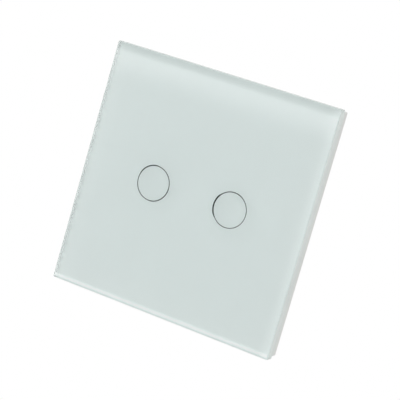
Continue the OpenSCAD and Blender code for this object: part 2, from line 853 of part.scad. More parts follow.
module relay_winding(side) {
  x = side * relay_x;
  y0 = y_base_top + relay_iron_t + bobbin_flange_t;
  y1 = y_pole - bobbin_pole_gap - bobbin_flange_t;
  tube_d = core_d + 2 * bobbin_core_clear + 2 * bobbin_tube_wall;
  color([0.72, 0.4, 0.2])
  difference() {
    rod_y(x, z_core, y0, y1, bobbin_d - 2 * winding_inset);
    rod_y(x, z_core, y0 - cut_over, y1 + cut_over, tube_d);
  }
}

module relay_contact(side) {
  x = side * relay_x;
  y_shelf = y_contact - contact_t;
  color([0.8, 0.55, 0.3]) {
    block([x - contact_blade_w / 2, y_base_top, z_contact - contact_blade_t / 2],
          [x + contact_blade_w / 2, y_shelf, z_contact + contact_blade_t / 2]);
    block([x - contact_blade_w / 2, y_shelf - contact_blade_t, z_contact - contact_d / 2],
          [x + contact_blade_w / 2, y_shelf, z_contact + contact_d / 2]);
    rod_y(x, z_contact, y_shelf - contact_blade_t / 2, y_contact, contact_d);
  }
}

module relay_armature(side) {
  x = side * relay_x;
  w = relay_iron_w - 2 * armature_inset;
  z_end = z_contact + contact_d / 2;
  color([0.66, 0.66, 0.68]) {
    block([x - w / 2, y_armature_low, z_pivot], [x + w / 2, y_armature_top, z_end]);
    rod_x(y_pivot, z_pivot, x - w / 2, x + w / 2, knuckle_d);
    rod_y(x, z_contact, y_armature_low - contact_t, y_armature_low + contact_t, contact_d);
  }
}

module relay_cover(side) {
  color([0.15, 0.32, 0.62])
  translate([side * relay_x, 0, z_relay])
  difference() {
    block([-relay_w / 2, y_power_back, -relay_l / 2], [relay_w / 2, y_relay_top, relay_l / 2]);
    block([-relay_w / 2 + relay_wall, y_power_back - cut_over, -relay_l / 2 + relay_wall],
          [relay_w / 2 - relay_wall, y_relay_top - relay_wall, relay_l / 2 - relay_wall]);
  }
}

module terminal_body(i) {
  x = terminal_x[i - 1];
  cavity_w = cage_w + 2 * cage_clear;
  slot_half_w = bar_w / 2 + bar_clear;
  z_slot_top = z_leg + bar_leg_t / 2 + bar_clear;
  color([0.22, 0.24, 0.26])
  difference() {
    block([x - terminal_w / 2, y_power_back, z_terminal_low], [x + terminal_w / 2, y_back, z_terminal_top]);
    block([x - cavity_w / 2, y_power_back - cut_over, z_cage_low - cage_clear],
          [x + cavity_w / 2, y_cavity_top, z_cage_top + cage_clear]);
    block([x - slot_half_w, y_power_back - cut_over, z_cage_top],
          [x + slot_half_w, y_bar_top + bar_clear, z_slot_top]);
    rod_z(x, y_wire, z_terminal_low - cut_over, z_cage_low, wire_d);
    rod_y(x, z_clamp, y_cavity_top - cut_over, y_back, clamp_screw_d + 2 * run_clear);
    rod_y(x, z_clamp, y_cavity_top + head_seat_t, y_back + cut_over, clamp_head_d + 2 * head_clear);
  }
}

module terminal_bar(i) {
  x = terminal_x[i - 1];
  color([0.8, 0.6, 0.3]) {
    block([x - bar_w / 2, y_bar_low, z_cage_low + bar_end_gap],
          [x + bar_w / 2, y_bar_top, z_leg + bar_leg_t / 2]);
    block([x - bar_w / 2, y_power_front - leg_over, z_leg - bar_leg_t / 2],
          [x + bar_w / 2, y_bar_top, z_leg + bar_leg_t / 2]);
  }
}

module terminal_cage(i) {
  x = terminal_x[i - 1];
  window_half = cage_w / 2 - cage_wall;
  color([0.78, 0.72, 0.5])
  difference() {
    block([x - cage_w / 2, y_cage_low, z_cage_low], [x + cage_w / 2, y_cage_top, z_cage_top]);
    block([x - window_half, y_cage_low + cage_floor, z_cage_low - cut_over],
          [x + window_half, y_roof_low, z_cage_top + cut_over]);
    rod_y(x, z_clamp, y_roof_low - cut_over / 2, y_cage_top + cut_over, clamp_screw_d + 2 * run_clear);
  }
}

module terminal_screw(i) {
  x = terminal_x[i - 1];
  color([0.8, 0.78, 0.74])
  difference() {
    union() {
      rod_y(x, z_clamp, y_bar_top + run_clear, y_head_top, clamp_screw_d);
      rod_y(x, z_clamp, y_head_low, y_head_top, clamp_head_d);
    }
    block([x - clamp_head_d / 2 - cut_over, y_head_top - slot_depth, z_clamp - slot_w / 2],
          [x + clamp_head_d / 2 + cut_over, y_head_top + cut_over, z_clamp + slot_w / 2]);
  }
}

glass_panel();
ring_print();
back_print();
adhesive_tape();
panel_frame();
mounting_yoke();
front_cover();
housing_screws();
rear_housing();
light_guide(-1);  // light_guide_left
light_guide(1);  // light_guide_right
touch_spring(-1);  // touch_spring_left
touch_spring(1);  // touch_spring_right
touch_board();
touch_chip();
indicator_leds();
board_socket();
board_header();
header_pins();
power_board();
board_screws();
smoothing_capacitor();
film_capacitor();
varistor();
fuse();
transformer_core();
transformer_coil();
rectifier();
relay_base(-1);  // relay_left_base
relay_base(1);  // relay_right_base
relay_yoke(-1);  // relay_left_yoke
relay_yoke(1);  // relay_right_yoke
relay_bobbin(-1);  // relay_left_bobbin
relay_bobbin(1);  // relay_right_bobbin
relay_winding(-1);  // relay_left_winding
relay_winding(1);  // relay_right_winding
relay_contact(-1);  // relay_left_contact
relay_contact(1);  // relay_right_contact
relay_cover(-1);  // relay_left_cover
relay_cover(1);  // relay_right_cover
relay_armature(-1);  // relay_left_armature
relay_armature(1);  // relay_right_armature
relay_pins();
terminal_body(1);  // terminal_body_1
terminal_body(2);  // terminal_body_2
terminal_body(3);  // terminal_body_3
terminal_bar(1);  // terminal_bar_1
terminal_bar(2);  // terminal_bar_2
terminal_bar(3);  // terminal_bar_3
terminal_cage(1);  // terminal_cage_1
terminal_cage(2);  // terminal_cage_2
terminal_cage(3);  // terminal_cage_3
terminal_screw(1);  // terminal_screw_1
terminal_screw(2);  // terminal_screw_2
terminal_screw(3);  // terminal_screw_3
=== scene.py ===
import json
import math

import bmesh
import bpy
import numpy as np
from mathutils import Matrix, Vector


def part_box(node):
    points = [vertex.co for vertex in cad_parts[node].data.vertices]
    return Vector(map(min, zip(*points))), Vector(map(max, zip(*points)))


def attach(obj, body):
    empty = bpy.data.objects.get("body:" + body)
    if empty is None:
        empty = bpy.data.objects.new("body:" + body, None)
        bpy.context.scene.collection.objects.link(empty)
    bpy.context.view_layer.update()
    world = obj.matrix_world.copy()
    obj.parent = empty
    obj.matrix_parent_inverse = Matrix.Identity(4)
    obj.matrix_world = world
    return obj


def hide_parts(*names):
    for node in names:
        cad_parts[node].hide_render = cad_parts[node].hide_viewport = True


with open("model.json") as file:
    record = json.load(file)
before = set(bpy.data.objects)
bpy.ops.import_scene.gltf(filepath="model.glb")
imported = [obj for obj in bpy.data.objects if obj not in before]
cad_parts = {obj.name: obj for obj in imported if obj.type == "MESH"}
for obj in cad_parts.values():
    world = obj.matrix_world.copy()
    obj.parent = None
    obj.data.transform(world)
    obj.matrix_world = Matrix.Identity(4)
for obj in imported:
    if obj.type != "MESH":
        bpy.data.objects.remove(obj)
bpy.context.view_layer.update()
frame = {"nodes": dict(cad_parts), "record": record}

MM = 0.001
WHITE = (1, 1, 1, 1)
SIDES = ("left", "right")


def linked(name, data):
    """New object of a mesh, lamp or camera, linked into the scene."""
    made = bpy.data.objects.new(name, data)
    bpy.context.scene.collection.objects.link(made)
    return made


# Camera, set to the photograph's view

LENS = 140.776
SENSOR = 36.0
CLIP_NEAR = 0.01
CLIP_FAR = 50.0
CAMERA_AT = Vector((220.085, -481.82, 65.953)) * MM
CAMERA_AIM = Vector((3.509, -7.8, -0.094)) * MM
CAMERA_ROLL = math.radians(16.145)


def place_camera():
    """Looks from CAMERA_AT to CAMERA_AIM, then rolls: the level right and up axes turn about the line of
    sight."""
    look = (CAMERA_AIM - CAMERA_AT).normalized()
    level_right = look.cross(Vector((0, 0, 1))).normalized()
    level_up = level_right.cross(look)
    right = math.cos(CAMERA_ROLL) * level_right + math.sin(CAMERA_ROLL) * level_up
    up = right.cross(look)
    data = bpy.data.cameras.new("photo_camera")
    data.lens = LENS
    data.sensor_width = SENSOR
    data.clip_start = CLIP_NEAR
    data.clip_end = CLIP_FAR
    camera = linked("photo_camera", data)
    turn = Matrix((right, up, -look)).transposed().to_4x4()
    camera.matrix_world = Matrix.Translation(CAMERA_AT) @ turn
    bpy.context.scene.camera = camera


# Shader building

def put(tree, kind, sockets=None, **settings):
    """Adds one shader node; sockets take a number, a colour or the output that feeds them."""
    made = tree.nodes.new("ShaderNode" + kind)
    for key, value in settings.items():
        setattr(made, key, value)
    for key, value in (sockets or {}).items():
        if isinstance(value, bpy.types.NodeSocket):
            tree.links.new(value, made.inputs[key])
        else:
            made.inputs[key].default_value = value
    return made


def worked(tree, operation, *values):
    """One step of arithmetic on numbers or outputs."""
    return put(tree, "Math", dict(enumerate(values)), operation=operation).outputs[0]


def eased(tree, value, start, end, low=0.0, high=1.0):
    """Smooth step from low, where the value is at start, to high, at end."""
    sockets = {"Value": value, "From Min": start, "From Max": end, "To Min": low, "To Max": high}
    return put(tree, "MapRange", sockets, interpolation_type="SMOOTHSTEP").outputs[0]


def ranged(tree, value, low, high, from_low=0.0, from_high=1.0):
    """Value taken from one range to another, and held at its ends."""
    sockets = {"Value": value, "From Min": from_low, "From Max": from_high, "To Min": low, "To Max": high}
    return put(tree, "MapRange", sockets).outputs[0]


def noise(tree, place, scale, detail=2.0, rough=0.5):
    """Cloudy noise of a place, with values about one half."""
    sockets = {"Vector": place, "Scale": scale, "Detail": detail, "Roughness": rough}
    return put(tree, "TexNoise", sockets).outputs[0]


def blank_material(name):
    """New material without nodes, and its node tree."""
    material = bpy.data.materials.new(name)
    material.use_nodes = True
    material.node_tree.nodes.clear()
    return material, material.node_tree


# Light: a white surround, one large soft lamp, a reflector card and a pale floor. LIGHT_SPAN goes from facing
# away from the window to facing it, and only a path without a matt bounce stays below BEFORE_MATT

LIGHT_FROM = Vector((-0.55, -0.9, 0.35)).normalized()
LIGHT_SPAN = (-0.6, 1.0)
LIGHT_SIDE = 1.18
SHADE_SIDE = 0.60
BEFORE_MATT = 0.5


def white_surround():
    """World that is white to the eye, in gloss and through glass. Matt surfaces get the light of a room,
    which falls smoothly from LIGHT_SIDE, towards the window, to SHADE_SIDE."""
    world = bpy.data.worlds.new("white_surround")
    bpy.context.scene.world = world
    world.use_nodes = True
    tree = world.node_tree
    tree.nodes.clear()
    path = put(tree, "LightPath")
    seen = worked(tree, "MAXIMUM", path.outputs["Is Camera Ray"], path.outputs["Is Glossy Ray"])
    shown = worked(tree, "MAXIMUM", seen, path.outputs["Is Transmission Ray"])
    direct = worked(tree, "LESS_THAN", path.outputs["Diffuse Depth"], BEFORE_MATT)
    plain = worked(tree, "MULTIPLY", shown, direct)
    way = put(tree, "TexCoord").outputs["Generated"]
    facing = put(tree, "VectorMath", {0: way, 1: LIGHT_FROM}, operation="DOT_PRODUCT").outputs["Value"]
    room = eased(tree, facing, *LIGHT_SPAN, SHADE_SIDE, LIGHT_SIDE)
    light = put(tree, "Background", {"Color": WHITE, "Strength": ranged(tree, plain, room, 1.0)})
    put(tree, "OutputWorld", {"Surface": light.outputs[0]})


LAMP_AT = Vector((-0.55, -0.9, 0.75))
LAMP_SIZE = 0.9
LAMP_POWER = 2.5


def soft_lamp():
    """Square area lamp that faces the origin, lights what lies under the glass too, and isn't seen itself."""
    data = bpy.data.lights.new("key_lamp", "AREA")
    data.size = LAMP_SIZE
    data.energy = LAMP_POWER
    lamp = linked("key_lamp", data)
    lamp.location = LAMP_AT
    lamp.rotation_euler = (-LAMP_AT).to_track_quat("-Z", "Y").to_euler()
    lamp.visible_camera = False


# Reflector card: its place and grid, then its glow as smooth steps, each from one place to the next, and from
# none to one unless two levels follow. The left and right fields go along X, everything else along Z

CARD_Y = -0.82
CARD_X = (-0.70, 0.60)
CARD_Z = (-0.75, 0.85)
CARD_STEPS = (12, 24)
STRIP_START = (-0.0002, -0.0075)
STRIP_FALL = (-0.0056, -0.0327, 3.4, 1.5)
FOOT_RISE = (-0.2234, -0.2268, -1.0, 3.8)
FOOT_FALL = (-0.2266, -0.2282, 0.0, -4.8)
LEFT_START = (-0.70, -0.62)
LEFT_END = (-0.08, -0.16)
RIGHT_START = (-0.2725, -0.2600, 0.0, 1.4)
RIGHT_END = (0.6, 0.3)
LOWER_END = (-0.75, -0.6)
UPPER_END = (0.85, 0.65)


def reflector_card():
    """Upright card in front, to the left, on a flat grid, which only gloss shows. Its glow is one, as the
    surround's, plus smooth steps. In its left field they make a dark upper half, a bright strip under it that
    falls off downwards and a thin bright line at the foot, and in its right field an even glow. Both fields
    fade out at the card's ends."""
    columns, rows = CARD_STEPS
    across, up = np.meshgrid(np.linspace(*CARD_X, columns), np.linspace(*CARD_Z, rows), indexing="ij")
    points = np.stack([across, np.full_like(across, CARD_Y), up], axis=-1).reshape(-1, 3)
    corner = (np.arange(columns - 1)[:, None] * rows + np.arange(rows - 1)).ravel()
    quads = np.stack([corner, corner + 1, corner + rows + 1, corner + rows], axis=-1)
    mesh = bpy.data.meshes.new("reflector_card")
    mesh.from_pydata(points.tolist(), [], quads.tolist())
    card = linked("reflector_card", mesh)
    for sight in ("visible_camera", "visible_diffuse", "visible_transmission", "visible_shadow"):
        setattr(card, sight, False)
    glow, tree = blank_material("reflector_card")
    apart = put(tree, "SeparateXYZ", {0: put(tree, "TexCoord").outputs["Object"]})
    x, z = apart.outputs["X"], apart.outputs["Z"]
    strip = worked(tree, "MULTIPLY", eased(tree, z, *STRIP_FALL), eased(tree, z, *STRIP_START))
    foot = worked(tree, "ADD", eased(tree, z, *FOOT_RISE), eased(tree, z, *FOOT_FALL))
    left = worked(tree, "MULTIPLY", eased(tree, x, *LEFT_START), eased(tree, x, *LEFT_END))
    right = worked(tree, "MULTIPLY", eased(tree, x, *RIGHT_START), eased(tree, x, *RIGHT_END))
    ends = worked(tree, "MULTIPLY", eased(tree, z, *LOWER_END), eased(tree, z, *UPPER_END))
    fields = worked(tree, "MULTIPLY_ADD", worked(tree, "ADD", strip, foot), left, right)
    level = worked(tree, "MULTIPLY_ADD", fields, ends, 1.0)
    shine = put(tree, "Emission", {"Color": WHITE, "Strength": level})
    put(tree, "OutputMaterial", {"Surface": shine.outputs[0]})
    mesh.materials.append(glow)


# Shapes

SMOOTH_ANGLE = math.radians(35.0)


def smooth(share):
    """Smooth step of a share from none to one."""
    return share * share * (3 - 2 * share)


def quads_between(rows, columns, closed=False):
    """Corners of the quads between neighbouring rows of loops, each loop joined from its last point to its
    first. In a closed skin the last row is joined to the first too."""
    row, column = np.meshgrid(np.arange(rows if closed else rows - 1), np.arange(columns), indexing="ij")
    after = (column + 1) % columns
    here, up = row * columns, (row + 1) % rows * columns
    return np.stack([here + column, here + after, up + after, up + column], axis=-1).reshape(-1, 4)


def fan(pole, loop_start, columns, flip):
    """Corners of the triangles from a pole to each pair of neighbours on a closed loop."""
    column = np.arange(columns)
    first, second = loop_start + column, loop_start + (column + 1) % columns
    if flip:
        first, second = second, first
    return np.stack([np.full(columns, pole), first, second], axis=-1)


def closed_skin(name, loops, first_pole, last_pole, material):
    """Closed mesh of loops[row, column], joined in quads, with a fan to a pole at each end. Its faces are
    turned outwards by the sign of its volume."""
    rows, columns = loops.shape[:2]
    points = np.concatenate([loops.reshape(-1, 3), [first_pole, last_pole]])
    quads = quads_between(rows, columns)
    start = fan(rows * columns, 0, columns, True)
    end = fan(rows * columns + 1, (rows - 1) * columns, columns, False)
    triangles = np.concatenate([quads[:, [0, 1, 2]], quads[:, [0, 2, 3]], start, end])
    a, b, c = (points[triangles[:, k]] for k in range(3))
    if np.einsum("ij,ij->i", a, np.cross(b, c)).sum() < 0:
        quads, start, end = quads[:, ::-1], start[:, ::-1], end[:, ::-1]
    mesh = bpy.data.meshes.new(name)
    mesh.from_pydata(points.tolist(), [], quads.tolist() + start.tolist() + end.tolist())
    mesh.polygons.foreach_set("use_smooth", np.ones(len(mesh.polygons), dtype=bool))
    mesh.set_sharp_from_angle(angle=SMOOTH_ANGLE)
    mesh.update()
    mesh.materials.append(material)
    return linked(name, mesh)


def upright(flat, levels):
    """Loops that stand upright: each flat loop lies across X and Z, at its own level of Y."""
    depth = np.broadcast_to(levels[:, None], flat.shape[:2])
    return np.stack([flat[..., 0], depth, flat[..., 1]], axis=-1)


# Glass plate: its size is taken from its solid, and its back bites into the ink behind it by a hair. Loops
# next to a turn of the profile are given as shares of that turn

GLASS_LOW, GLASS_HIGH = (np.array(corner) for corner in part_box("glass_panel"))
GLASS_HALF = (GLASS_HIGH[0] - GLASS_LOW[0]) / 2
GLASS_FRONT = GLASS_LOW[1]
INK_BITE = 0.03 * MM
GLASS_BACK = GLASS_HIGH[1] + INK_BITE
CORNER_R = 0.6 * MM
EDGE_R = 0.5 * MM
ARRIS = 0.01 * MM
SIDE_STEPS = 12
CORNER_STEPS = 10
EDGE_STEPS = 14
FACE_LOOP = 1.08
SIDE_LOOP = 1.1
ARRIS_INSETS = np.array([0, 0.1, 0.9, 1.0, 1.4])
ARRIS_DEPTHS = np.array([1.2, 0.9, 0.1, 0, 0])
FACE_SHARES = np.linspace(0.1, 0.95, 6)[:, None, None]


def square_outline(inset):
    """Rounded square, inset from the plate's edge: four corner arcs of radius CORNER_R less the inset, with
    even steps on the sides."""
    reach = GLASS_HALF - CORNER_R
    radius = CORNER_R - inset
    turn = np.linspace(0, math.pi / 2, CORNER_STEPS + 1)
    corner = np.stack([reach + radius * np.cos(turn), reach + radius * np.sin(turn)], axis=-1)
    along = np.linspace(reach, -reach, SIDE_STEPS + 1)[1:-1]
    side = np.stack([along, np.full_like(along, GLASS_HALF - inset)], axis=-1)
    turned = [np.concatenate([corner, side])]
    for _ in range(3):
        turned.append(np.stack([-turned[-1][:, 1], turned[-1][:, 0]], axis=-1))
    return np.concatenate(turned)


def glass_plate(material):
    """Plate with soft edges: the rounded square outline is carried along a profile of inset and depth, which
    is flat at the front, a quarter circle of radius EDGE_R at the front edge, straight on the side and a
    hair's arris at the back."""
    arc = np.linspace(0, math.pi / 2, EDGE_STEPS + 1)
    inset = np.concatenate([[FACE_LOOP * EDGE_R], EDGE_R * (1 - np.sin(arc)), [0], ARRIS_INSETS * ARRIS])
    depth = np.concatenate([
        [GLASS_FRONT], GLASS_FRONT + EDGE_R * (1 - np.cos(arc)), [GLASS_FRONT + SIDE_LOOP * EDGE_R],
        GLASS_BACK - ARRIS_DEPTHS * ARRIS])
    rim = np.stack([square_outline(i) for i in inset])
    face, rear = FACE_SHARES * rim[:1], FACE_SHARES[::-1] * rim[-1:]
    levels = np.concatenate([np.full(len(face), GLASS_FRONT), depth, np.full(len(rear), GLASS_BACK)])
    loops = upright(np.concatenate([face, rim, rear]), levels)
    return closed_skin("glass_plate", loops, (0, GLASS_FRONT, 0), (0, GLASS_BACK, 0), material)


PRINT_INSET = 0.005 * MM
PRINT_SHARES = np.array([0.5, 1.0, 1.0, 0.5])[:, None, None]


def print_sheet(material):
    """Sheet of ink behind the glass: the plate's outline, a hair inside its edge, carried straight back."""
    front, back = (corner[1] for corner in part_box("back_print"))
    loops = upright(PRINT_SHARES * square_outline(PRINT_INSET)[None], np.array([front, front, back, back]))
    return closed_skin("print_sheet", loops, (0, front, 0), (0, back, 0), material)


# Printed rings: the width of the solid's line, the thin line, and the swells, where the line is drawn wider
# as painted shade on arcs of the rings. A swell is its middle in degrees from +X towards +Z, the degrees from
# there to its full part's end and to its own end, and the width that it adds in mm

RING_LINE = 0.3 * MM
RING_STEPS = 240
RING_THIN = {"left": 0.242 * MM, "right": 0.22 * MM}
RING_SHADE_SWELLS = {
    "left": [(123, 20, 50, 0.135), (316, 30, 55, 0.075)],
    "right": [(178, 25, 48, 0.28), (100, 35, 65, 0.075)],
}


def ring_lines(material):
    """Two inked rings on the glass: a flat section of four corners is carried round each circle. Its inner
    radius is even, and its width is the thin line's plus a smooth step down from each swell's full part to
    its end. The swells are painted shade: they darken arcs of the rings."""
    low, high = (np.array(corner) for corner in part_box("ring_print"))
    outer = (high[2] - low[2]) / 2
    centre_z = (high[2] + low[2]) / 2
    angle = np.linspace(0, 2 * math.pi, RING_STEPS, endpoint=False)
    depth = np.array([low[1], low[1], high[1], high[1]])
    points = []
    for side, centre_x in zip(SIDES, (low[0] + outer, high[0] - outer)):
        width = np.full(RING_STEPS, RING_THIN[side])
        # Each swell widens the ink as painted shade
        for middle, full, none, added in RING_SHADE_SWELLS[side]:
            away = np.abs((np.degrees(angle) - middle + 180) % 360 - 180)
            width += added * MM * smooth(np.clip((none - away) / (none - full), 0, 1))
        inner = np.full(RING_STEPS, outer - RING_LINE / 2 - RING_THIN[side] / 2)
        radius = np.stack([inner, inner + width, inner + width, inner], axis=-1)
        x = centre_x + radius * np.cos(angle)[:, None]
        z = centre_z + radius * np.sin(angle)[:, None]
        points.append(np.stack([x, np.broadcast_to(depth, x.shape), z], axis=-1).reshape(-1, 3))
    quads = quads_between(RING_STEPS, len(depth), closed=True)
    faces = np.concatenate([quads, quads + len(points[0])])
    mesh = bpy.data.meshes.new("ring_lines")
    mesh.from_pydata(np.concatenate(points).tolist(), [], faces.tolist())
    mesh.materials.append(material)
    return linked("ring_lines", mesh)


WIRE_D = 0.6 * MM
WIRE_SIDES = 14
SPRING_TURNS = 5
SPRING_STEPS = 40
EVEN_RISE = 0.45


def touch_spring(side, material):
    """Round wire along a helix about Y: the rise is partly even and partly a smooth step of the turns, so
    that the end turns lie flatter."""
    low, high = (np.array(corner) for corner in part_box(f"touch_spring_{side}"))
    centre = (low + high) / 2
    radius = (high[0] - low[0] - WIRE_D) / 2
    share = np.linspace(0, 1, SPRING_TURNS * SPRING_STEPS + 1)
    rise = EVEN_RISE * share + (1 - EVEN_RISE) * smooth(share)
    angle = 2 * math.pi * SPRING_TURNS * share
    y = low[1] + WIRE_D / 2 + (high[1] - low[1] - WIRE_D) * rise
    line = np.stack([centre[0] + radius * np.cos(angle), y, centre[2] + radius * np.sin(angle)], axis=-1)
    along = np.gradient(line, axis=0)
    along /= np.linalg.norm(along, axis=1, keepdims=True)
    outward = np.stack([np.cos(angle), np.zeros_like(angle), np.sin(angle)], axis=-1)
    across = np.cross(along, outward)
    around = np.linspace(0, 2 * math.pi, WIRE_SIDES, endpoint=False)[None, :, None]
    section = np.cos(around) * outward[:, None] + np.sin(around) * across[:, None]
    loops = line[:, None] + WIRE_D / 2 * section
    return closed_skin(f"coil_spring_{side}", loops, line[0], line[-1], material)


# Solids that get soft edges, each with the width of its rounding in mm

RELAY_EDGES = {"base": 0.2, "bobbin": 0.15, "winding": 0.2, "cover": 0.35}
TERMINAL_EDGES = {"body": 0.3, "bar": 0.12, "cage": 0.2, "screw": 0.12}
SOFT_EDGES = {
    "front_cover": 0.25, "rear_housing": 0.2, "mounting_yoke": 0.12,
    "housing_screws": 0.12, "board_screws": 0.12,
    "touch_board": 0.1, "power_board": 0.1,
    "touch_chip": 0.15, "indicator_leds": 0.15,
    "board_socket": 0.12, "board_header": 0.12, "header_pins": 0.12,
    "smoothing_capacitor": 0.4, "film_capacitor": 0.6, "varistor": 1.0, "fuse": 0.4,
    "transformer_core": 0.3, "transformer_coil": 0.3, "rectifier": 0.3, "relay_pins": 0.1,
    **{f"light_guide_{side}": 0.15 for side in SIDES},
    **{f"relay_{side}_{piece}": width for side in SIDES for piece, width in RELAY_EDGES.items()},
    **{f"terminal_{piece}_{number}": width
       for number in (1, 2, 3) for piece, width in TERMINAL_EDGES.items()},
}
MERGE_REACH = 0.001 * MM
FLAT_ANGLE = math.radians(0.5)
SOFT_ANGLE = math.radians(40.0)
SOFT_STEPS = 3


def soft_copy(node, width, material):
    """Copy of a solid with soft edges: its triangles are merged and joined to whole flat faces, and each
    outward edge that turns by more than SOFT_ANGLE becomes a round of the given width. Inward corners stay
    crisp."""
    form = bmesh.new()
    form.from_mesh(frame["nodes"][node].data)
    bmesh.ops.remove_doubles(form, verts=form.verts, dist=MERGE_REACH)
    bmesh.ops.dissolve_limit(form, angle_limit=FLAT_ANGLE, verts=form.verts, edges=form.edges)
    turn = np.array([edge.calc_face_angle_signed(0.0) for edge in form.edges])
    mesh = bpy.data.meshes.new(f"soft_{node}")
    form.to_mesh(mesh)
    form.free()
    for label in ("custom_normal", "sharp_face"):
        if label in mesh.attributes:
            mesh.attributes.remove(mesh.attributes[label])
    mesh.polygons.foreach_set("use_smooth", np.ones(len(mesh.polygons), dtype=bool))
    mesh.edges.foreach_set("use_edge_sharp", turn < -SOFT_ANGLE)
    outward = mesh.attributes.new("bevel_weight_edge", "FLOAT", "EDGE")
    outward.data.foreach_set("value", (turn > SOFT_ANGLE).astype(np.float32))
    mesh.materials.clear()
    mesh.materials.append(material)
    piece = linked(f"soft_{node}", mesh)
    rounding = piece.modifiers.new("soft_edges", "BEVEL")
    rounding.width = width * MM
    rounding.segments = SOFT_STEPS
    rounding.limit_method = "WEIGHT"
    rounding.loop_slide = False
    rounding.use_clamp_overlap = False
    shade = piece.modifiers.new("even_shade", "WEIGHTED_NORMAL")
    shade.keep_sharp = True
    return piece


FLOOR_Z = -0.2
FLOOR_T = 0.002
FLOOR_R = (0.02, 0.34)
FLOOR_STEPS = (24, 64)


def floor_disc(material):
    """Flat round floor on a polar grid, below the part and out of the photograph's view."""
    rings, spokes = FLOOR_STEPS
    radius = np.linspace(*FLOOR_R, rings)[:, None]
    angle = np.linspace(0, 2 * math.pi, spokes, endpoint=False)[None]
    top = np.stack([radius * np.cos(angle), radius * np.sin(angle), np.full(FLOOR_STEPS, FLOOR_Z)], axis=-1)
    under = top[::-1] - np.array([0, 0, FLOOR_T])
    loops = np.concatenate([top, under])
    disc = closed_skin("pale_floor", loops, (0, 0, FLOOR_Z), (0, 0, FLOOR_Z - FLOOR_T), material)


# Effects that several finishes share. NOISE_SPAN is where most values of a noise lie, and the MIX numbers are
# the colour sockets of a Mix node

NOISE_SPAN = (0.3, 0.7)
MIX_FIRST = 6
MIX_SECOND = 7
MIX_RESULT = 2


def effect(name, inputs, outputs, build):
    """Shader node group with named sockets; build gets the tree and the inputs, and returns what feeds each
    output."""
    tree = bpy.data.node_groups.new(name, "ShaderNodeTree")
    for label, kind in inputs:
        tree.interface.new_socket(name=label, in_out="INPUT", socket_type="NodeSocket" + kind)
    for label, kind in outputs:
        tree.interface.new_socket(name=label, in_out="OUTPUT", socket_type="NodeSocket" + kind)
    entry = tree.nodes.new("NodeGroupInput")
    leave = tree.nodes.new("NodeGroupOutput")
    for label, source in build(tree, entry.outputs).items():
        tree.links.new(source, leave.inputs[label])
    return tree


def object_place(tree, stretch=(1, 1, 1)):
    """Object coordinates, stretched."""
    place = put(tree, "TexCoord")
    return put(tree, "Mapping", {"Vector": place.outputs["Object"], "Scale": stretch}).outputs[0]


def tinted(tree, colour, shade):
    """Colour times a grey shade."""
    sockets = {"Factor": 1.0, MIX_FIRST: colour, MIX_SECOND: shade}
    return put(tree, "Mix", sockets, data_type="RGBA", blend_type="MULTIPLY").outputs[MIX_RESULT]


GRAIN_DETAIL = 3.0
GRAIN_ROUGH = 0.6
GRAIN_SHADE = (0.97, 1.03)
CLOUD_SCALE = 70.0


def build_moulded(tree, given):
    """Fine spark-eroded grain for height and gloss, and broad clouds that shift the shade."""
    place = object_place(tree)
    grain = noise(tree, place, given["Grain"], GRAIN_DETAIL, GRAIN_ROUGH)
    cloud = noise(tree, place, CLOUD_SCALE)
    low = worked(tree, "SUBTRACT", 1.0, given["Shift"])
    high = worked(tree, "ADD", 1.0, given["Shift"])
    shade = ranged(tree, cloud, low, high, *NOISE_SPAN)
    fine = ranged(tree, grain, *GRAIN_SHADE, *NOISE_SPAN)
    both = worked(tree, "MULTIPLY", shade, fine)
    gloss = worked(tree, "MULTIPLY_ADD", grain, given["Spread"], given["Rough"])
    return {"Colour": tinted(tree, given["Colour"], both), "Roughness": gloss, "Height": grain}


STREAK_STRETCH = (30, 900, 900)
STREAK_SCALE = 3.0
STREAK_DETAIL = 4.0
STREAK_ROUGH = 0.65
STREAK_SPAN = (0.25, 0.75)
STREAK_SHADE = (0.9, 1.06)
SPANGLE_SHADE = (0.94, 1.04)


def build_rolled(tree, given):
    """Rolling streaks: noise drawn out along X, over spangles of the plating."""
    streak = noise(tree, object_place(tree, STREAK_STRETCH), STREAK_SCALE, STREAK_DETAIL, STREAK_ROUGH)
    spangle = put(tree, "TexVoronoi", {"Vector": object_place(tree), "Scale": given["Spangle"]})
    grey = put(tree, "RGBToBW", {"Color": spangle.outputs["Color"]}).outputs[0]
    shade = ranged(tree, streak, *STREAK_SHADE, *STREAK_SPAN)
    both = worked(tree, "MULTIPLY", shade, ranged(tree, grey, *SPANGLE_SHADE))
    mixed = worked(tree, "ADD", streak, grey)
    gloss = worked(tree, "MULTIPLY_ADD", mixed, given["Spread"], given["Rough"])
    return {"Colour": tinted(tree, given["Colour"], both), "Roughness": gloss, "Height": streak}


# The first pair darkens the wire's colour towards the grooves between turns: painted shade
CROWN_PAINTED_SHADE = (0.45, 1.0)
CROWN_ROUGH = (0.5, 0.3)
TURN_SHADE = (0.9, 1.1)


def build_wound(tree, given):
    """Turns of enamelled wire: rounded ridges across Y, each a little lighter or darker than the next, with
    painted shade that darkens the grooves between them.
    """
    place = put(tree, "TexCoord").outputs["Object"]
    y = put(tree, "SeparateXYZ", {0: place}).outputs["Y"]
    count = worked(tree, "MULTIPLY", y, given["Turns"])
    ridge = worked(tree, "MULTIPLY", worked(tree, "FRACT", count), math.pi)
    crown = worked(tree, "SINE", ridge)
    whole = worked(tree, "FLOOR", count)
    chance = put(tree, "TexWhiteNoise", {"W": whole}, noise_dimensions="1D").outputs["Value"]
    both = worked(tree, "MULTIPLY", ranged(tree, crown, *CROWN_PAINTED_SHADE), ranged(tree, chance, *TURN_SHADE))
    rough = ranged(tree, crown, *CROWN_ROUGH)
    return {"Colour": tinted(tree, given["Colour"], both), "Roughness": rough, "Height": crown}


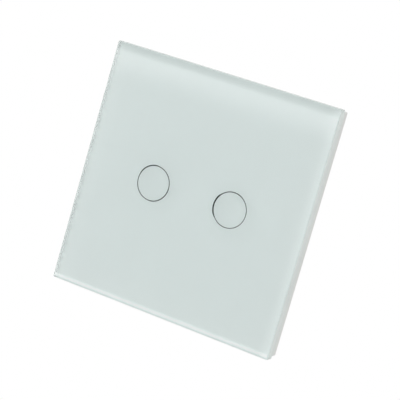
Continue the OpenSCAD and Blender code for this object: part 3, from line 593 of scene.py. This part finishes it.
LANES_PER_METRE = 620.0
RUNS_PER_METRE = 160.0
BARE_SHARE = 0.42
LANE_MIDDLE = 0.5
TRACK_EDGE = (0.2, 0.26)
TRACK_LIFT = (1.0, 1.7)
TRACK_CLOUD = 400.0
TRACK_SHIFT = (-0.1, 0.1)
LACQUER_ROUGH = (0.25, 0.4)


def build_tracks(tree, given):
    """Copper tracks under the board's lacquer: lanes across X, each broken along Z by chance, with a paler
    colour and a step."""
    place = put(tree, "TexCoord").outputs["Object"]
    apart = put(tree, "SeparateXYZ", {0: place})
    lane = worked(tree, "MULTIPLY", apart.outputs["X"], LANES_PER_METRE)
    run = worked(tree, "MULTIPLY", apart.outputs["Z"], RUNS_PER_METRE)
    cell = put(tree, "CombineXYZ", {"X": worked(tree, "FLOOR", lane), "Y": worked(tree, "FLOOR", run)})
    chance = put(tree, "TexWhiteNoise", {"Vector": cell.outputs[0]}, noise_dimensions="2D").outputs["Value"]
    laid = worked(tree, "GREATER_THAN", chance, BARE_SHARE)
    middle = worked(tree, "SUBTRACT", worked(tree, "FRACT", lane), LANE_MIDDLE)
    narrow = ranged(tree, worked(tree, "ABSOLUTE", middle), 1.0, 0.0, *TRACK_EDGE)
    track = worked(tree, "MULTIPLY", narrow, laid)
    cloud = noise(tree, place, TRACK_CLOUD)
    shade = worked(tree, "MULTIPLY_ADD", track, ranged(tree, cloud, *TRACK_SHIFT), 1.0)
    both = worked(tree, "MULTIPLY", shade, ranged(tree, track, *TRACK_LIFT))
    rough = ranged(tree, cloud, *LACQUER_ROUGH)
    return {"Colour": tinted(tree, given["Colour"], both), "Roughness": rough, "Height": track}


FILM_SCALE = 45.0
FILM_DETAIL = 4.0
FILM_ROUGH = 0.55
FILM_SHADE = (0.992, 1.004)
GROUND_START = 0.1 * MM
GROUND_FULL = 0.02 * MM
DEPTH_REACH = 1


def build_polished(tree, given):
    """Wiped glass: a broad faint film dulls the polish in clouds and tints the body by a trace. At the side
    faces, which lie a corner radius out from the square between the corner centres, the glass is ground and
    duller, and its greyer colour there is partly the ground finish and partly painted shade. Depth doesn't
    count, as it never gets past its reach."""
    place = object_place(tree)
    film = noise(tree, place, FILM_SCALE, FILM_DETAIL, FILM_ROUGH)
    gloss = worked(tree, "MULTIPLY_ADD", film, given["Spread"], given["Rough"])
    shade = ranged(tree, film, *FILM_SHADE, *NOISE_SPAN)
    reach = GLASS_HALF - CORNER_R
    away = put(tree, "VectorMath", {0: place}, operation="ABSOLUTE").outputs[0]
    past = put(tree, "VectorMath", {0: away, 1: (reach, DEPTH_REACH, reach)}, operation="SUBTRACT").outputs[0]
    clear = put(tree, "VectorMath", {0: past, 1: (0, 0, 0)}, operation="MAXIMUM").outputs[0]
    out = put(tree, "VectorMath", {0: clear}, operation="LENGTH").outputs["Value"]
    side = eased(tree, out, CORNER_R - GROUND_START, CORNER_R - GROUND_FULL)
    dull = ranged(tree, side, gloss, given["Ground"])
    body = tinted(tree, given["Colour"], shade)
    # The side faces take the ground colour, which is partly painted shade
    sockets = {"Factor": side, MIX_FIRST: body, MIX_SECOND: given["Ground and shade colour"]}
    colour = put(tree, "Mix", sockets, data_type="RGBA").outputs[MIX_RESULT]
    return {"Colour": colour, "Roughness": dull}


COLOUR_IN = [("Colour", "Color")]
GLOSS_IN = [("Rough", "Float"), ("Spread", "Float")]
GRAIN_IN = [("Shift", "Float"), ("Grain", "Float")]
GROUND_IN = [("Ground", "Float"), ("Ground and shade colour", "Color")]
SMOOTH_OUT = [("Colour", "Color"), ("Roughness", "Float")]
RELIEF_OUT = SMOOTH_OUT + [("Height", "Float")]
MOULDED = effect("moulded_grain", COLOUR_IN + GRAIN_IN + GLOSS_IN, RELIEF_OUT, build_moulded)
ROLLED = effect("rolled_plating", COLOUR_IN + [("Spangle", "Float")] + GLOSS_IN, RELIEF_OUT, build_rolled)
WOUND = effect("wound_turns", COLOUR_IN + [("Turns", "Float")], RELIEF_OUT, build_wound)
TRACKS = effect("lacquered_tracks", COLOUR_IN, RELIEF_OUT, build_tracks)
POLISHED = effect("wiped_polish", COLOUR_IN + GROUND_IN + GLOSS_IN, SMOOTH_OUT, build_polished)


# Finishes

RELIEF_STRENGTH = 0.6
WIRE_RELIEF = 0.08 * MM
TRACK_RELIEF = 0.03 * MM
ENAMEL_METALLIC = 0.6


def dressed(name, group, values, relief=0.0, **shader):
    """Material whose colour, gloss and fine relief come from one effect; the other sockets are set on the
    shader itself."""
    material, tree = blank_material(name)
    look = put(tree, "Group", values, node_tree=group)
    surface = put(tree, "BsdfPrincipled", {
        "Base Color": look.outputs["Colour"], "Roughness": look.outputs["Roughness"], **shader})
    if relief:
        height = {"Height": look.outputs["Height"], "Strength": RELIEF_STRENGTH, "Distance": relief}
        tree.links.new(put(tree, "Bump", height).outputs[0], surface.inputs["Normal"])
    put(tree, "OutputMaterial", {"Surface": surface.outputs[0]})
    return material


def effect_values(colour, **rest):
    """Socket values of an effect, with the colour opaque."""
    return {"Colour": (*colour, 1.0), **rest}


def plastic(name, colour, rough=0.35, spread=0.15, grain=2600.0, shift=0.02, relief=0.006, **shader):
    """Moulded, printed or coated surface; relief is in mm."""
    values = effect_values(colour, Shift=shift, Grain=grain, Rough=rough, Spread=spread)
    return dressed(name, MOULDED, values, relief * MM, **shader)


def metal(name, colour, rough=0.22, spread=0.08, spangle=500.0, relief=0.003):
    """Rolled and plated metal; relief is in mm."""
    values = effect_values(colour, Spangle=spangle, Rough=rough, Spread=spread)
    return dressed(name, ROLLED, values, relief * MM, Metallic=1.0)


def wound(name, colour, turns):
    """Winding of enamelled wire, with its turns per metre."""
    return dressed(name, WOUND, effect_values(colour, Turns=turns), WIRE_RELIEF, Metallic=ENAMEL_METALLIC)


FLOOR_FADE = (0.33, 0.16)
FLOOR_CLOUD = 30.0
FLOOR_TONE = (0.9, 0.94)
FLOOR_ROUGH = 0.9


def pale_floor_finish():
    """Matt white that fades out towards its rim, and that is clear from below."""
    material, tree = blank_material("pale_floor")
    place = put(tree, "TexCoord").outputs["Object"]
    apart = put(tree, "SeparateXYZ", {0: place})
    flat = put(tree, "CombineXYZ", {"X": apart.outputs["X"], "Y": apart.outputs["Y"]}).outputs[0]
    far = put(tree, "VectorMath", {0: flat}, operation="LENGTH").outputs["Value"]
    fade = eased(tree, far, *FLOOR_FADE)
    top = worked(tree, "GREATER_THAN", apart.outputs["Z"], FLOOR_Z - FLOOR_T / 2)
    front = worked(tree, "SUBTRACT", 1.0, put(tree, "NewGeometry").outputs["Backfacing"])
    alpha = worked(tree, "MULTIPLY", fade, worked(tree, "MULTIPLY", top, front))
    tone = ranged(tree, noise(tree, place, FLOOR_CLOUD), *FLOOR_TONE)
    colour = put(tree, "CombineColor", {0: tone, 1: tone, 2: tone}).outputs[0]
    surface = put(tree, "BsdfPrincipled", {"Base Color": colour, "Roughness": FLOOR_ROUGH, "Alpha": alpha})
    put(tree, "OutputMaterial", {"Surface": surface.outputs[0]})
    return material


GLASS_LOOK = effect_values((0.965, 0.99, 0.985), Rough=0.0, Spread=0.02, Ground=0.45)
# The ground colour greys the glass's side faces: partly its ground finish, partly painted shade
GLASS_LOOK["Ground and shade colour"] = (0.87, 0.86, 0.83, 1.0)

finishes = {
    "glass": dressed("polished_glass", POLISHED, GLASS_LOOK, **{"Transmission Weight": 1.0, "IOR": 1.5}),
    "white_print": plastic("white_ink", (0.823, 0.8885, 0.8785), rough=0.55, spread=0.1, grain=9000.0,
                           shift=0.006, relief=0.001),
    "ring_ink": plastic("ring_ink", (0.006, 0.014, 0.012), rough=0.5, spread=0.1, grain=9000.0,
                        relief=0.001, **{"Specular IOR Level": 0.2}),
    "tape": plastic("foam_tape", (0.12, 0.12, 0.13), rough=0.8, spread=0.1, grain=4000.0, relief=0.03),
    "frame_plastic": plastic("frame_plastic", (0.785, 0.795, 0.77), rough=0.32, spread=0.12),
    "shell_plastic": plastic("shell_plastic", (0.84, 0.84, 0.82), rough=0.42, spread=0.16, grain=2000.0,
                             relief=0.012),
    "zinc_steel": metal("zinc_plated_sheet", (0.70, 0.72, 0.74), rough=0.2, spread=0.09, spangle=420.0),
    "screw_steel": metal("plated_screw", (0.74, 0.74, 0.75), rough=0.16, spread=0.06, spangle=1500.0),
    "smoked_acrylic": plastic("smoked_acrylic", (0.12, 0.13, 0.135), rough=0.12, spread=0.1, grain=1200.0,
                              relief=0.002),
    "spring_brass": metal("plated_spring_wire", (0.82, 0.70, 0.42), rough=0.18, spread=0.06, spangle=2500.0),
    "board": dressed("green_board", TRACKS, effect_values((0.03, 0.20, 0.10)), TRACK_RELIEF,
                     **{"Coat Weight": 0.4}),
    "black_plastic": plastic("black_moulding", (0.035, 0.036, 0.04), rough=0.4, spread=0.15, shift=0.08),
    "terminal_plastic": plastic("terminal_moulding", (0.075, 0.082, 0.09), rough=0.38, spread=0.16,
                                shift=0.06, relief=0.01),
    "lamp": plastic("lamp_lens", (0.90, 0.86, 0.60), rough=0.1, spread=0.1, grain=1500.0,
                    **{"Coat Weight": 0.5}),
    "pin_metal": metal("tinned_brass", (0.82, 0.74, 0.50), rough=0.2, spread=0.08, spangle=2000.0),
    "copper": wound("enamelled_wire", (0.62, 0.30, 0.13), turns=5200.0),
    "iron": metal("plated_iron", (0.58, 0.58, 0.60), rough=0.26, spread=0.1, spangle=900.0),
    "ferrite": plastic("ferrite", (0.045, 0.045, 0.05), rough=0.6, spread=0.2, grain=3500.0, shift=0.1,
                       relief=0.02),
    "capacitor_sleeve": plastic("shrink_sleeve", (0.04, 0.055, 0.16), rough=0.16, spread=0.12, grain=700.0,
                                shift=0.05),
    "film_case": plastic("film_case", (0.58, 0.46, 0.13), rough=0.28, spread=0.15, shift=0.05),
    "varistor_coat": plastic("dipped_coat", (0.05, 0.15, 0.36), rough=0.2, spread=0.2, grain=900.0,
                             shift=0.08, relief=0.03),
    "fuse_case": plastic("fuse_case", (0.36, 0.06, 0.05), rough=0.25, spread=0.15, shift=0.06),
    "relay_blue": plastic("relay_moulding", (0.045, 0.15, 0.42), rough=0.28, spread=0.14, shift=0.04),
    "bobbin_plastic": plastic("bobbin_moulding", (0.76, 0.74, 0.64), rough=0.4, spread=0.15),
}


# The part

place_camera()
white_surround()
soft_lamp()
reflector_card()
floor_disc(pale_floor_finish())

slot_of = {part["node"]: part["material_slot"] for part in frame["record"]["subparts"]}
body_of = {node: body for body, nodes in frame["record"]["behaviour"]["bodies"].items() for node in nodes}
for node, slot in slot_of.items():
    data = frame["nodes"][node].data
    data.materials.clear()
    data.materials.append(finishes[slot])

plate = glass_plate(finishes["glass"])
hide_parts("glass_panel")
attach(plate, "front_panel")
sheet = print_sheet(finishes["white_print"])
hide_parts("back_print")
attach(sheet, "front_panel")
rings = ring_lines(finishes["ring_ink"])
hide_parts("ring_print")
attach(rings, "front_panel")
for side in SIDES:
    spring = touch_spring(side, finishes["spring_brass"])
    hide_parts(f"touch_spring_{side}")
    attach(spring, "module")
for node, width in SOFT_EDGES.items():
    copy = soft_copy(node, width, finishes[slot_of[node]])
    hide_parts(node)
    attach(copy, body_of[node])

view = bpy.context.scene.view_settings
view.view_transform = "Standard"
